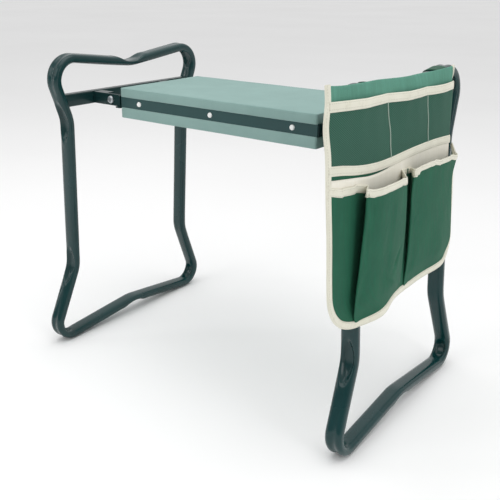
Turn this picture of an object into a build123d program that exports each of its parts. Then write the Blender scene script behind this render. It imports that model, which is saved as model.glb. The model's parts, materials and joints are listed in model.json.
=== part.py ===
"""Folding garden kneeler and seat with a hanging tool bag.

Millimetres, +Z up, +X along the seat towards the end that carries the tool bag, +Y to the rear.
The origin is on the floor, under the middle of the overall box.
"""
from build123d import *
from math import cos, radians, sin, tan
import os

os.makedirs("parts", exist_ok=True)

# ---------------------------------------------------------------- driving dimensions
# Seat: two foam pads with a steel-edged board between them
seat_length = 360.0
seat_width = 184.0
upper_pad_thickness = 14.0
lower_pad_thickness = 16.0
rail_height = 16.0
rail_thickness = 1.5
rail_flange = 14.0
rail_inset = 1.5
pad_corner_radius = 2.0
rivet_count = 3
rivet_spacing = 141.0
rivet_head_radius = 3.8
rivet_head_height = 2.4
rivet_dome = 2.0
rivet_shank_radius = 2.5
rivet_shank_length = 11.0

# Hinges: heights are measured from the pivot axis, which is at the rails' mid height
pivot_x = 210.0
pivot_radius = 3.0
pivot_clearance = 0.06
ear_y = 79.0
ear_thickness = 3.0
ear_flange = 13.0
ear_flange_length = 14.0
bracket_y = 82.75
bracket_thickness = 2.5
bracket_half_height = 9.0
bracket_nose = 20.0
bracket_flange = 18.0
flange_thickness = 1.5
bracket_flange_start = 12.0
bracket_corner = 6.0
stop_near = 13.0
stop_far = 22.0
stop_gap = 0.15
stop_thickness = 2.2
bolt_head_radius = 6.0
bolt_head_height = 3.5
bolt_dome = 2.6
nut_across_flats = 10.0
nut_thickness = 5.0
nut_gap = 0.3
bolt_tail = 1.2
spacer_radius = 8.0
spacer_gap = 0.1

# End frames: one oval tube bent into a closed hourglass loop, leaning outwards at the foot
frame_offset = 257.0
splay = 3.0
tube_width = 25.0
tube_depth = 15.0
tube_wall = 1.2
handle_half = 174.0
handle_top = 71.0
handle_dip = 22.0
waist_half = 135.0
waist_top = -31.0
waist_bottom = -283.0
foot_half = 192.0
foot_drop = -414.0
foot_rise = 20.0
handle_radius = 32.0
foot_radius = 28.0
waist_radius = 60.0
middle_radius = 90.0
crossbar_height = 20.0
crossbar_depth = 12.0
crossbar_wall = 1.5
crossbar_half = 147.0
crossbar_corner = 2.0

# Tool bag on the outer side of the right frame: u is along +Y, v is up the frame from the pivot
bag_near = -217.0
bag_far = 143.0
bag_top = 73.0
bag_bottom = -222.0
bag_near_radius = 50.0
bag_far_radius = 40.0
panel_thickness = 2.0
lining_thickness = 0.5
binding_width = 3.0
binding_depth = 4.0
mesh_bottom = -22.0
mesh_top = 53.0
mesh_depth = 11.0
fabric = 1.5
mesh_seams = (-75.0, 38.0)
tape_height = 11.0
tape_thickness = 1.2
lining_top = -33.0
pocket_mouth = -45.0
pocket_mouth_depth = 19.0
pocket_floor_depth = 5.0
near_pocket = (-160.0, -48.0)
far_pocket = (-34.0, 116.0)
flat_pocket_near = -212.0
flat_pocket_depth = 2.5
strap_width = 25.0
strap_thickness = 1.2
strap_slack = 0.3
strap_position = 95.0

# ---------------------------------------------------------------- derived places
lean = radians(splay)
touching = 0.01
rail_half = rail_height / 2
rail_face = seat_width / 2 - rail_inset
end_x = seat_length / 2

loop_points = [
    (0, handle_top - handle_dip),
    (handle_half, handle_top),
    (waist_half, waist_top),
    (waist_half, waist_bottom),
    (foot_half, foot_drop),
    (0, foot_drop + foot_rise),
    (-foot_half, foot_drop),
    (-waist_half, waist_bottom),
    (-waist_half, waist_top),
    (-handle_half, handle_top),
]
loop_radii = [
    middle_radius, handle_radius, waist_radius, waist_radius, foot_radius,
    middle_radius, foot_radius, waist_radius, waist_radius, handle_radius,
]

with BuildLine() as centreline:
    FilletPolyline(*loop_points, radius=loop_radii, close=True)

# The foot corners' undersides stand on the floor, which sets the pivot's height.
lowest_v = centreline.line.bounding_box().min.Y
tube_flat = tube_width - tube_depth
pivot_z = -lowest_v * cos(lean) + tube_depth / 2 + tube_flat / 2 * sin(lean)

panel_n = tube_width / 2 + strap_slack + strap_thickness
front_n = panel_n + panel_thickness
pocket_n = front_n + lining_thickness

# The model is built about the middle of the seat. The bag stands out at one end and one side,
# so every piece is then moved to put the origin under the middle of the overall box.
mouth_n = pocket_n + pocket_mouth_depth + tape_thickness
reach_left = frame_offset + tube_flat / 2 * cos(lean) + tube_depth / 2 - lowest_v * sin(lean)
reach_right = frame_offset + mouth_n * cos(lean) - (pocket_mouth - tape_height) * sin(lean)
reach_rear = centreline.line.bounding_box().max.X + tube_depth / 2
reach_front = binding_width - bag_near
to_origin = Location(((reach_left - reach_right) / 2, (reach_front - reach_rear) / 2, 0))


def save(piece, name):
    """Label a finished piece, move it to the origin's frame and write it as its own file."""
    piece.part.label = name
    piece.part.move(to_origin)
    export_step(piece.part, f"parts/{name}.step")


def level(height):
    """Horizontal plane at a height above the pivot axis, centred on the seat."""
    return Plane(origin=(0, 0, pivot_z + height))


def frame_plane(side, offset=0.0):
    """Plane of an end frame: x along the frame, y up it, z outwards, origin at pivot height."""
    outward = Vector(side * cos(lean), 0, sin(lean))
    middle = Vector(side * frame_offset, 0, pivot_z)
    return Plane(origin=middle + outward * offset, x_dir=(0, side, 0), z_dir=outward)


def hinge_plane(side, y):
    """Upright plane across a pivot: x outwards from the seat, y up, origin on the pivot axis."""
    return Plane(origin=(side * pivot_x, y, pivot_z), x_dir=(side, 0, 0), z_dir=(0, -side, 0))


def section_plane(side, u, v, turn):
    """Plane across a bar of the end frame that runs at an angle to the frame's x axis."""
    frame = frame_plane(side)
    origin = frame.from_local_coords(Vector(u, v, 0))
    along = frame.x_dir * cos(turn) + frame.y_dir * sin(turn)
    return Plane(origin=origin, x_dir=frame.z_dir, z_dir=along)


# ---------------------------------------------------------------- seat
with BuildPart() as upper_pad:
    with BuildSketch(level(rail_half)):
        RectangleRounded(seat_length, seat_width, pad_corner_radius)
    extrude(amount=upper_pad_thickness)
save(upper_pad, "upper_pad")

with BuildPart() as lower_pad:
    with BuildSketch(level(-rail_half)):
        RectangleRounded(seat_length, seat_width, pad_corner_radius)
    extrude(amount=-lower_pad_thickness)
save(lower_pad, "lower_pad")

board_width = 2 * (rail_face - rail_thickness)
board_height = rail_height - 2 * rail_thickness
rivet_y = rail_face - rail_thickness
rivet_places = [(x, side * rivet_y) for side in (-1, 1) for x in (-rivet_spacing, 0, rivet_spacing)]

with BuildPart() as seat_board:
    with BuildSketch(level(-board_height / 2)):
        Rectangle(seat_length, board_width)
    extrude(amount=board_height)
    for x, y in rivet_places:
        inward = -1 if y > 0 else 1
        with BuildSketch(Plane(origin=(x, y, pivot_z), x_dir=(1, 0, 0), z_dir=(0, inward, 0))):
            Circle(rivet_shank_radius)
        extrude(amount=rivet_shank_length - rail_thickness, mode=Mode.SUBTRACT)
save(seat_board, "seat_board")


def make_rail(side):
    """Pressed steel channel along one long edge of the board, drilled for three rivets."""
    start = Plane(origin=(-end_x, 0, pivot_z), x_dir=(0, 1, 0), z_dir=(1, 0, 0))
    with BuildPart() as rail:
        with BuildSketch(start):
            with Locations((side * (rail_face - rail_flange / 2), 0)):
                Rectangle(rail_flange, rail_height)
            with Locations((side * (rail_face - rail_thickness - rail_flange / 2), 0)):
                Rectangle(rail_flange, board_height, mode=Mode.SUBTRACT)
        extrude(amount=seat_length)
        with BuildSketch(Plane(origin=(0, side * rail_face, pivot_z), x_dir=(1, 0, 0), z_dir=(0, side, 0))):
            with GridLocations(rivet_spacing, 0, rivet_count, 1):
                Circle(rivet_shank_radius)
        extrude(amount=-rail_thickness, mode=Mode.SUBTRACT)
    return rail


save(make_rail(-1), "front_rail")
save(make_rail(1), "rear_rail")

with BuildPart() as rail_rivets:
    for side in (-1, 1):
        face = Plane(origin=(0, side * rail_face, pivot_z), x_dir=(1, 0, 0), z_dir=(0, side, 0))
        with BuildSketch(face):
            with GridLocations(rivet_spacing, 0, rivet_count, 1):
                Circle(rivet_head_radius)
        extrude(amount=rivet_head_height)
        with BuildSketch(face):
            with GridLocations(rivet_spacing, 0, rivet_count, 1):
                Circle(rivet_shank_radius)
        extrude(amount=-rivet_shank_length)
    head_rims = rail_rivets.edges().filter_by(GeomType.CIRCLE)
    head_y = rail_face + rivet_head_height
    head_rims = head_rims.filter_by(lambda rim: abs(abs(rim.center().Y) - head_y) < touching)
    fillet(head_rims, radius=rivet_dome)
save(rail_rivets, "rail_rivets")


def make_end_channel(side):
    """Steel channel that closes one end of the seat, with two hinge ears and two stop tabs."""
    ear_reach = pivot_x - end_x
    stop_length = stop_far - stop_near
    stop_middle = (stop_near + stop_far) / 2
    stop_top = bracket_half_height + stop_gap
    lug_height = stop_thickness + 2 * (stop_top - rail_half)
    with BuildPart() as channel:
        with BuildSketch(Plane(origin=(side * end_x, 0, pivot_z), x_dir=(0, 1, 0), z_dir=(side, 0, 0))):
            Rectangle(2 * (rail_face - rail_thickness), rail_height)
        extrude(amount=rail_thickness)
        for y in (-ear_y, ear_y):
            inner = -1 if y > 0 else 1
            with BuildSketch(hinge_plane(side, y)):
                Circle(rail_half)
                with Locations((-ear_reach / 2, 0)):
                    Rectangle(ear_reach, rail_height)
                with Locations((-stop_middle, -rail_half - stop_thickness / 2)):
                    Rectangle(stop_length, lug_height)
            extrude(amount=ear_thickness / 2, both=True)
            flange_y = y + inner * (ear_flange - ear_thickness) / 2
            flange_x = side * (end_x + ear_flange_length / 2)
            with Locations((flange_x, flange_y, pivot_z + rail_half - rail_thickness / 2)):
                Box(ear_flange_length, ear_flange, rail_thickness)
            tab_y = y - inner * (ear_thickness / 2 + bracket_thickness)
            tab_x = side * (pivot_x - stop_middle)
            tab_z = pivot_z - stop_top - stop_thickness / 2
            with Locations((tab_x, tab_y, tab_z)):
                Box(stop_length, 2 * bracket_thickness + ear_thickness, stop_thickness)
            with BuildSketch(hinge_plane(side, y)):
                Circle(pivot_radius + pivot_clearance)
            extrude(amount=ear_thickness / 2, both=True, mode=Mode.SUBTRACT)
    return channel


save(make_end_channel(-1), "left_end_channel")
save(make_end_channel(1), "right_end_channel")


# ---------------------------------------------------------------- end frames
def tube_body(side, width, depth):
    """The bent loop's outer or inner skin, swept round the closed centreline."""
    frame = frame_plane(side)
    with BuildPart() as body:
        with BuildLine(frame) as path:
            FilletPolyline(*loop_points, radius=loop_radii, close=True)
        start = Plane(origin=path.line @ 0, x_dir=frame.z_dir, z_dir=path.line % 0)
        with BuildSketch(start):
            SlotOverall(width, depth)
        sweep()
    return body


def make_loop(outer, inner):
    """Hollow tube loop: the outer skin less the bore."""
    with BuildPart() as loop:
        add(outer.part)
        add(inner.part, mode=Mode.SUBTRACT)
    return loop


def make_crossbar(side, outer):
    """Rectangular tube across the frame at seat height, its ends coped to the loop."""
    with BuildPart() as crossbar:
        with BuildSketch(section_plane(side, 0, 0, 0)):
            RectangleRounded(crossbar_depth, crossbar_height, crossbar_corner)
            inner_depth = crossbar_depth - 2 * crossbar_wall
            inner_height = crossbar_height - 2 * crossbar_wall
            Rectangle(inner_depth, inner_height, mode=Mode.SUBTRACT)
        extrude(amount=crossbar_half, both=True)
        add(outer.part, mode=Mode.SUBTRACT)
    return crossbar


def make_bracket(side, y):
    """Pressed hinge bracket welded to the crossbar, a side plate with a top and a bottom flange."""
    face = frame_offset - pivot_x - crossbar_depth / 2 / cos(lean)
    slant = bracket_half_height * tan(lean)
    inward = 1 if y < 0 else -1
    with BuildPart() as bracket:
        with BuildSketch(hinge_plane(side, y)) as plate:
            Polygon(
                (-bracket_nose, -bracket_half_height),
                (face + slant, -bracket_half_height),
                (face - slant, bracket_half_height),
                (-bracket_nose, bracket_half_height),
                align=None,
            )
            nose = plate.vertices().filter_by(lambda corner: corner.X < 0 and corner.Y > 0)
            fillet(nose, radius=bracket_corner)
            Circle(pivot_radius, mode=Mode.SUBTRACT)
        extrude(amount=bracket_thickness / 2, both=True)
        flange_middle = y + inward * (bracket_flange - bracket_thickness) / 2
        for upper_edge in (bracket_half_height, flange_thickness - bracket_half_height):
            flange_length = face - upper_edge * tan(lean) - bracket_flange_start
            flange_x = side * (pivot_x + bracket_flange_start + flange_length / 2)
            flange_z = pivot_z + upper_edge - flange_thickness / 2
            with Locations((flange_x, flange_middle, flange_z)):
                Box(flange_length, bracket_flange, flange_thickness)
    return bracket


def make_pivot_bolts(side):
    """Two domed bolts on one axis, front and rear, each reaching inwards past its nut."""
    outer_y = bracket_y + bracket_thickness / 2
    inner_y = ear_y - ear_thickness / 2 - nut_gap - nut_thickness - bolt_tail
    with BuildPart() as bolts:
        for hand in (-1, 1):
            with BuildSketch(hinge_plane(side, hand * outer_y)):
                Circle(pivot_radius)
            extrude(amount=hand * side * (outer_y - inner_y))
            with BuildSketch(hinge_plane(side, hand * outer_y)):
                Circle(bolt_head_radius)
            extrude(amount=-hand * side * bolt_head_height)
        rims = bolts.edges().filter_by(GeomType.CIRCLE)
        rims = rims.filter_by(lambda rim: abs(abs(rim.center().Y) - outer_y - bolt_head_height) < touching)
        fillet(rims, radius=bolt_dome)
    return bolts


def make_pivot_nuts(side):
    """Two lock nuts on the inner ends of the pivot bolts."""
    nut_y = ear_y - ear_thickness / 2 - nut_gap - nut_thickness / 2
    with BuildPart() as nuts:
        for hand in (-1, 1):
            with BuildSketch(hinge_plane(side, hand * nut_y)):
                RegularPolygon(nut_across_flats / 2, 6, major_radius=False)
                Circle(pivot_radius, mode=Mode.SUBTRACT)
            extrude(amount=nut_thickness / 2, both=True)
    return nuts


def make_pivot_spacers(side):
    """Two plastic washers between the hinge brackets and the seat's ears."""
    ear_face = ear_y + ear_thickness / 2 + spacer_gap
    bracket_face = bracket_y - bracket_thickness / 2
    spacer_y = (ear_face + bracket_face) / 2
    with BuildPart() as spacers:
        for hand in (-1, 1):
            with BuildSketch(hinge_plane(side, hand * spacer_y)):
                Circle(spacer_radius)
                Circle(pivot_radius, mode=Mode.SUBTRACT)
            extrude(amount=(bracket_face - ear_face) / 2, both=True)
    return spacers


for name, side in (("left", -1), ("right", 1)):
    outer_skin = tube_body(side, tube_width, tube_depth)
    bore = tube_body(side, tube_width - 2 * tube_wall, tube_depth - 2 * tube_wall)
    save(make_loop(outer_skin, bore), f"{name}_frame_tube")
    save(make_crossbar(side, outer_skin), f"{name}_crossbar")
    save(make_bracket(side, -bracket_y), f"{name}_front_hinge_bracket")
    save(make_bracket(side, bracket_y), f"{name}_rear_hinge_bracket")
    save(make_pivot_bolts(side), f"{name}_pivot_bolts")
    save(make_pivot_nuts(side), f"{name}_pivot_nuts")
    save(make_pivot_spacers(side), f"{name}_pivot_spacers")


# ---------------------------------------------------------------- tool bag
def bag_plane(n):
    """Plane parallel to the right frame, at a distance outwards from its middle."""
    return frame_plane(1, n)


def panel_outline(margin, top):
    """The bag's outline as a face, grown by a margin, with its two rounded bottom corners."""
    low = bag_bottom - margin
    near = bag_near - margin
    far = bag_far + margin
    with BuildSketch() as outline:
        with BuildLine():
            FilletPolyline(
                (near, top), (near, low), (far, low), (far, top),
                radius=[0, bag_near_radius + margin, bag_far_radius + margin, 0],
                close=True,
            )
        make_face()
    return outline.sketch


panel_face = panel_outline(0, bag_top)
binding_face = panel_outline(binding_width, bag_top)
lining_face = panel_outline(-lining_thickness, lining_top)

with BuildPart() as bag_back_panel:
    with BuildSketch(bag_plane(panel_n)):
        add(panel_face)
    extrude(amount=panel_thickness)
save(bag_back_panel, "bag_back_panel")

with BuildPart() as bag_edge_binding:
    with BuildSketch(bag_plane(panel_n - (binding_depth - panel_thickness) / 4)):
        add(binding_face)
        add(panel_face, mode=Mode.SUBTRACT)
    extrude(amount=binding_depth)
save(bag_edge_binding, "bag_edge_binding")

with BuildPart() as bag_lining:
    with BuildSketch(bag_plane(front_n)):
        add(lining_face)
    extrude(amount=lining_thickness)
save(bag_lining, "bag_lining")


def across(near, far, low, high):
    """Add a rectangle in a bag plane by its edges."""
    with Locations(((near + far) / 2, (low + high) / 2)):
        Rectangle(far - near, high - low)


with BuildPart() as bag_mesh_pocket:
    with BuildSketch(bag_plane(front_n)):
        across(bag_near, bag_far, mesh_bottom, mesh_top)
    extrude(amount=mesh_depth)
    walls = [bag_near, *mesh_seams, bag_far]
    for near, far in zip(walls, walls[1:]):
        with BuildSketch(bag_plane(front_n)):
            across(near + fabric / 2, far - fabric / 2, mesh_bottom + fabric, mesh_top)
        extrude(amount=mesh_depth - fabric, mode=Mode.SUBTRACT)
save(bag_mesh_pocket, "bag_mesh_pocket")

with BuildPart() as bag_mesh_tape:
    with BuildSketch(bag_plane(front_n + mesh_depth)):
        across(bag_near, bag_far, mesh_top - tape_height, mesh_top)
    extrude(amount=tape_thickness)
save(bag_mesh_tape, "bag_mesh_tape")

with BuildPart() as bag_middle_tape:
    with BuildSketch(bag_plane(front_n)):
        across(bag_near, bag_far, mesh_bottom - tape_height, mesh_bottom)
    extrude(amount=tape_thickness)
save(bag_middle_tape, "bag_middle_tape")


def pocket_wedge(near, far, skin):
    """A pocket's wedge, wide at the mouth, kept inside the bag's outline; a skin shrinks it."""
    floor = bag_bottom + skin
    mouth_depth = pocket_mouth_depth - skin
    floor_depth = pocket_floor_depth - skin
    seam = bag_plane(pocket_n).from_local_coords(Vector(far, 0, 0))
    kept = panel_outline(-skin, bag_top)
    with BuildPart() as body:
        with BuildSketch(Plane(origin=seam, x_dir=bag_plane(0).z_dir, z_dir=(0, -1, 0))):
            Polygon((0, floor), (0, pocket_mouth), (mouth_depth, pocket_mouth), (floor_depth, floor), align=None)
        extrude(amount=far - near)
        with BuildSketch(bag_plane(pocket_n)):
            add(kept)
        extrude(amount=pocket_mouth_depth, mode=Mode.INTERSECT)
    return body.part


near_wedge = pocket_wedge(near_pocket[0], near_pocket[1], 0)
near_cavity = pocket_wedge(near_pocket[0] + fabric, near_pocket[1] - fabric, fabric)
far_wedge = pocket_wedge(far_pocket[0], far_pocket[1], 0)
far_cavity = pocket_wedge(far_pocket[0] + fabric, far_pocket[1] - fabric, fabric)

with BuildPart() as bag_near_pocket:
    add(near_wedge)
    add(near_cavity, mode=Mode.SUBTRACT)
    with BuildSketch(bag_plane(pocket_n)) as flat_part:
        across(flat_pocket_near, near_pocket[0], bag_bottom, pocket_mouth)
        add(panel_face, mode=Mode.INTERSECT)
    extrude(amount=flat_pocket_depth)
save(bag_near_pocket, "bag_near_pocket")

with BuildPart() as bag_far_pocket:
    add(far_wedge)
    add(far_cavity, mode=Mode.SUBTRACT)
save(bag_far_pocket, "bag_far_pocket")


def mouth_tape(near, far, n):
    """Binding tape along the front of a pocket's mouth."""
    with BuildSketch(bag_plane(n)) as tape:
        across(near, far, pocket_mouth - tape_height, pocket_mouth)
    extrude(tape.sketch, amount=tape_thickness)


with BuildPart() as bag_near_pocket_tape:
    mouth_tape(near_pocket[0], near_pocket[1], pocket_n + pocket_mouth_depth)
    mouth_tape(flat_pocket_near, near_pocket[0] - fabric, pocket_n + flat_pocket_depth)
save(bag_near_pocket_tape, "bag_near_pocket_tape")

with BuildPart() as bag_far_pocket_tape:
    mouth_tape(far_pocket[0], far_pocket[1], pocket_n + pocket_mouth_depth)
save(bag_far_pocket_tape, "bag_far_pocket_tape")

with BuildPart() as bag_handle_straps:
    handle_slope = handle_dip / handle_half
    for hand in (-1, 1):
        bar_v = handle_top - handle_dip + strap_position * handle_slope
        turn = hand * handle_slope
        with BuildSketch(section_plane(1, hand * strap_position, bar_v, turn)):
            gap = 2 * strap_slack
            grown = gap + 2 * strap_thickness
            SlotOverall(tube_width + grown, tube_depth + grown)
            SlotOverall(tube_width + gap, tube_depth + gap, mode=Mode.SUBTRACT)
        extrude(amount=strap_width / 2, both=True)
save(bag_handle_straps, "bag_handle_straps")
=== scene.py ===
"""Looks of the folding garden kneeler: bent tube frames, foam pads, steel rails and a cloth tool bag.

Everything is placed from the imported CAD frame. End-frame coordinates are millimetres: u along +Y,
v up the frame from the pivot height, n outwards from the middle of the frame's tube.
"""
import json
import math

import bmesh
import bpy
import numpy as np
from mathutils import Matrix, Vector, noise


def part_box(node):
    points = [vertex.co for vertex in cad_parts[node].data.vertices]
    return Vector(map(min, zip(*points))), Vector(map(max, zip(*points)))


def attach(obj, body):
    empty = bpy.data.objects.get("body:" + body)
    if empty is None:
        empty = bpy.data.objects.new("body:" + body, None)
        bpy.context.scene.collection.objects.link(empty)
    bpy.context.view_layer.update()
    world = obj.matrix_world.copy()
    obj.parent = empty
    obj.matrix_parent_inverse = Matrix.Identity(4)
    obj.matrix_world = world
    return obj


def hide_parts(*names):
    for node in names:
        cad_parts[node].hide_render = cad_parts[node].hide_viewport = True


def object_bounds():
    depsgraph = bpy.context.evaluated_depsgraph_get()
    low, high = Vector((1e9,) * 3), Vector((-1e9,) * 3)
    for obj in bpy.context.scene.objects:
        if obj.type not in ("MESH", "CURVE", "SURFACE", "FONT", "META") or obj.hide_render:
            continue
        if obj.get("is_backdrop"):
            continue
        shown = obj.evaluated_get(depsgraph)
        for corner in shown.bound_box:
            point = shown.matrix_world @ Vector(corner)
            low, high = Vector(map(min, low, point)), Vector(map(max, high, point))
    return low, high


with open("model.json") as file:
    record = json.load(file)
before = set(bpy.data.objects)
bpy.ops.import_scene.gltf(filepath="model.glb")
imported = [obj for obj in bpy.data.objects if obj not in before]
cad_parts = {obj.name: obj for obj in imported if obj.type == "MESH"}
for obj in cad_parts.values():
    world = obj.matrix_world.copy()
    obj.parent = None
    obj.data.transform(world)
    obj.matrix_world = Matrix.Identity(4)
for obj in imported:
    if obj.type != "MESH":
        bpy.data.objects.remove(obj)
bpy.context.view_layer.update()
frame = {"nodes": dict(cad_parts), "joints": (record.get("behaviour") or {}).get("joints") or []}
nodes = frame["nodes"]

MM = 0.001
LEAN = math.radians(3.0)
FRAME_OFFSET = 257.0
TUBE_WIDTH = 25.0
TUBE_DEPTH = 15.0


# ------------------------------------------------------------------ places
pad_low, pad_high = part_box("upper_pad")
SEAT = np.array([(pad_low.x + pad_high.x) / 2, (pad_low.y + pad_high.y) / 2, 0.0])
SEAT[2] = frame["joints"][0]["pos_m"][2]


def place(side, u, v, n):
    """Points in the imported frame, in metres, from end-frame coordinates in millimetres."""
    u, v, n = np.broadcast_arrays(*(np.asarray(a, float) for a in (u, v, n)))
    x = side * (FRAME_OFFSET + n * math.cos(LEAN) - v * math.sin(LEAN))
    z = n * math.sin(LEAN) + v * math.cos(LEAN)
    return np.stack([x, u, z], -1) * MM + SEAT


# ------------------------------------------------------------------ mesh helpers
def smoothstep(low, high, x):
    t = np.clip((np.asarray(x, float) - low) / (high - low), 0, 1)
    return t * t * (3 - 2 * t)


def bump(x, centre, width):
    return np.exp(-(((np.asarray(x, float) - centre) / width) ** 2))


def ramp(x, xs, ys):
    """Smooth curve through points: Catmull-Rom on xs, flat beyond the ends."""
    xs, ys = np.asarray(xs, float), np.asarray(ys, float)
    x = np.clip(np.asarray(x, float), xs[0], xs[-1])
    slopes = np.gradient(ys, xs)
    i = np.clip(np.searchsorted(xs, x, side="right") - 1, 0, len(xs) - 2)
    h = xs[i + 1] - xs[i]
    t = (x - xs[i]) / h
    a, b = ys[i], ys[i + 1]
    ma, mb = slopes[i] * h, slopes[i + 1] * h
    return (
        a * (2 * t**3 - 3 * t**2 + 1)
        + ma * (t**3 - 2 * t**2 + t)
        + b * (-2 * t**3 + 3 * t**2)
        + mb * (t**3 - t**2)
    )


def wave(points, size, seed=0.0):
    """Smooth noise in -1..1 at each point, with features of about a size in metres."""
    flat = np.asarray(points, float).reshape(-1, 3)
    shift = Vector((seed, seed * 1.7, seed * 0.6))
    values = [noise.noise(Vector(p) / size + shift) for p in flat]
    return np.array(values).reshape(np.asarray(points).shape[:-1])


def make_object(name, verts, faces, uvs=None, material=None):
    mesh = bpy.data.meshes.new(name)
    mesh.from_pydata([tuple(v) for v in verts], [], [tuple(int(i) for i in f) for f in faces])
    if uvs is not None:
        layer = mesh.uv_layers.new(name="UVMap")
        loops = np.zeros(len(mesh.loops), np.int32)
        mesh.loops.foreach_get("vertex_index", loops)
        layer.data.foreach_set("uv", np.asarray(uvs, np.float32)[loops].ravel())
    mesh.polygons.foreach_set("use_smooth", [True] * len(mesh.polygons))
    mesh.update()
    obj = bpy.data.objects.new(name, mesh)
    bpy.context.scene.collection.objects.link(obj)
    if material is not None:
        mesh.materials.append(material)
    return obj


def grid_faces(rows, cols, wrap_rows=False, wrap_cols=False):
    faces = []
    for i in range(rows if wrap_rows else rows - 1):
        for j in range(cols if wrap_cols else cols - 1):
            a, b = i * cols + j, i * cols + (j + 1) % cols
            c, d = ((i + 1) % rows) * cols + (j + 1) % cols, ((i + 1) % rows) * cols + j
            faces.append((a, b, c, d))
    return faces


def lengths_along(points, axis):
    """Cumulative length along one axis of a grid of points."""
    steps = np.linalg.norm(np.diff(points, axis=axis), axis=-1)
    total = np.cumsum(steps, axis=axis)
    start = np.zeros_like(np.take(total, [0], axis=axis))
    return np.concatenate([start, total], axis=axis)


def sheet_object(name, points, material, thickness):
    """One layer of cloth from a grid of points, with a real thickness. UVs are metres on the cloth."""
    rows, cols = points.shape[:2]
    across, down = lengths_along(points, 1), lengths_along(points, 0)
    uvs = np.stack([across, -down], -1).reshape(-1, 2)
    obj = make_object(name, points.reshape(-1, 3), grid_faces(rows, cols), uvs, material)
    solid = obj.modifiers.new("cloth_thickness", "SOLIDIFY")
    solid.thickness = thickness * MM
    solid.offset = 0.0
    solid.use_even_offset = False
    return obj


def unit(a):
    return a / np.maximum(np.linalg.norm(a, axis=-1, keepdims=True), 1e-12)


BAND_SIDES = 16


def band_object(name, edge, inward, normal, width, thickness, material, rise=1.0, round_power=3.0):
    """A cloth tape folded over an edge: a flat rounded section swept along the edge.

    edge, inward and normal are (k, 3): points, directions into the cloth and off its face.
    """
    turn = np.linspace(0, 2 * math.pi, BAND_SIDES, endpoint=False)
    c, s = np.cos(turn), np.sin(turn)
    flat_c = np.sign(c) * np.abs(c) ** (2 / round_power)
    flat_s = np.sign(s) * np.abs(s) ** (2 / round_power)
    k = len(edge)
    half_w = np.broadcast_to((np.asarray(width, float) + rise) / 2 * MM, (k,))[:, None]
    half_t = thickness / 2 * MM
    middle = edge + inward * (half_w - rise * MM)
    ring = (
        middle[:, None]
        + inward[:, None] * (flat_c[None] * half_w)[..., None]
        + normal[:, None] * (flat_s * half_t)[None, :, None]
    )
    along = lengths_along(edge[:, None], 0)[:, 0]
    across = (flat_c[None] + 1) * half_w
    uvs = np.stack([np.repeat(along[:, None], BAND_SIDES, 1), across], -1).reshape(-1, 2)
    faces = grid_faces(k, BAND_SIDES, wrap_cols=True)
    faces.append(tuple(range(BAND_SIDES - 1, -1, -1)))
    faces.append(tuple((k - 1) * BAND_SIDES + i for i in range(BAND_SIDES)))
    return make_object(name, ring.reshape(-1, 3), faces, uvs, material)


# ------------------------------------------------------------------ materials
def linear(hex_colour):
    """sRGB hex to a linear RGBA tuple."""
    channels = [int(hex_colour[i : i + 2], 16) / 255 for i in (1, 3, 5)]
    return tuple(c / 12.92 if c <= 0.04045 else ((c + 0.055) / 1.055) ** 2.4 for c in channels) + (1.0,)


RANGE_SOCKETS = ("From Min", "From Max", "To Min", "To Max")


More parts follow.
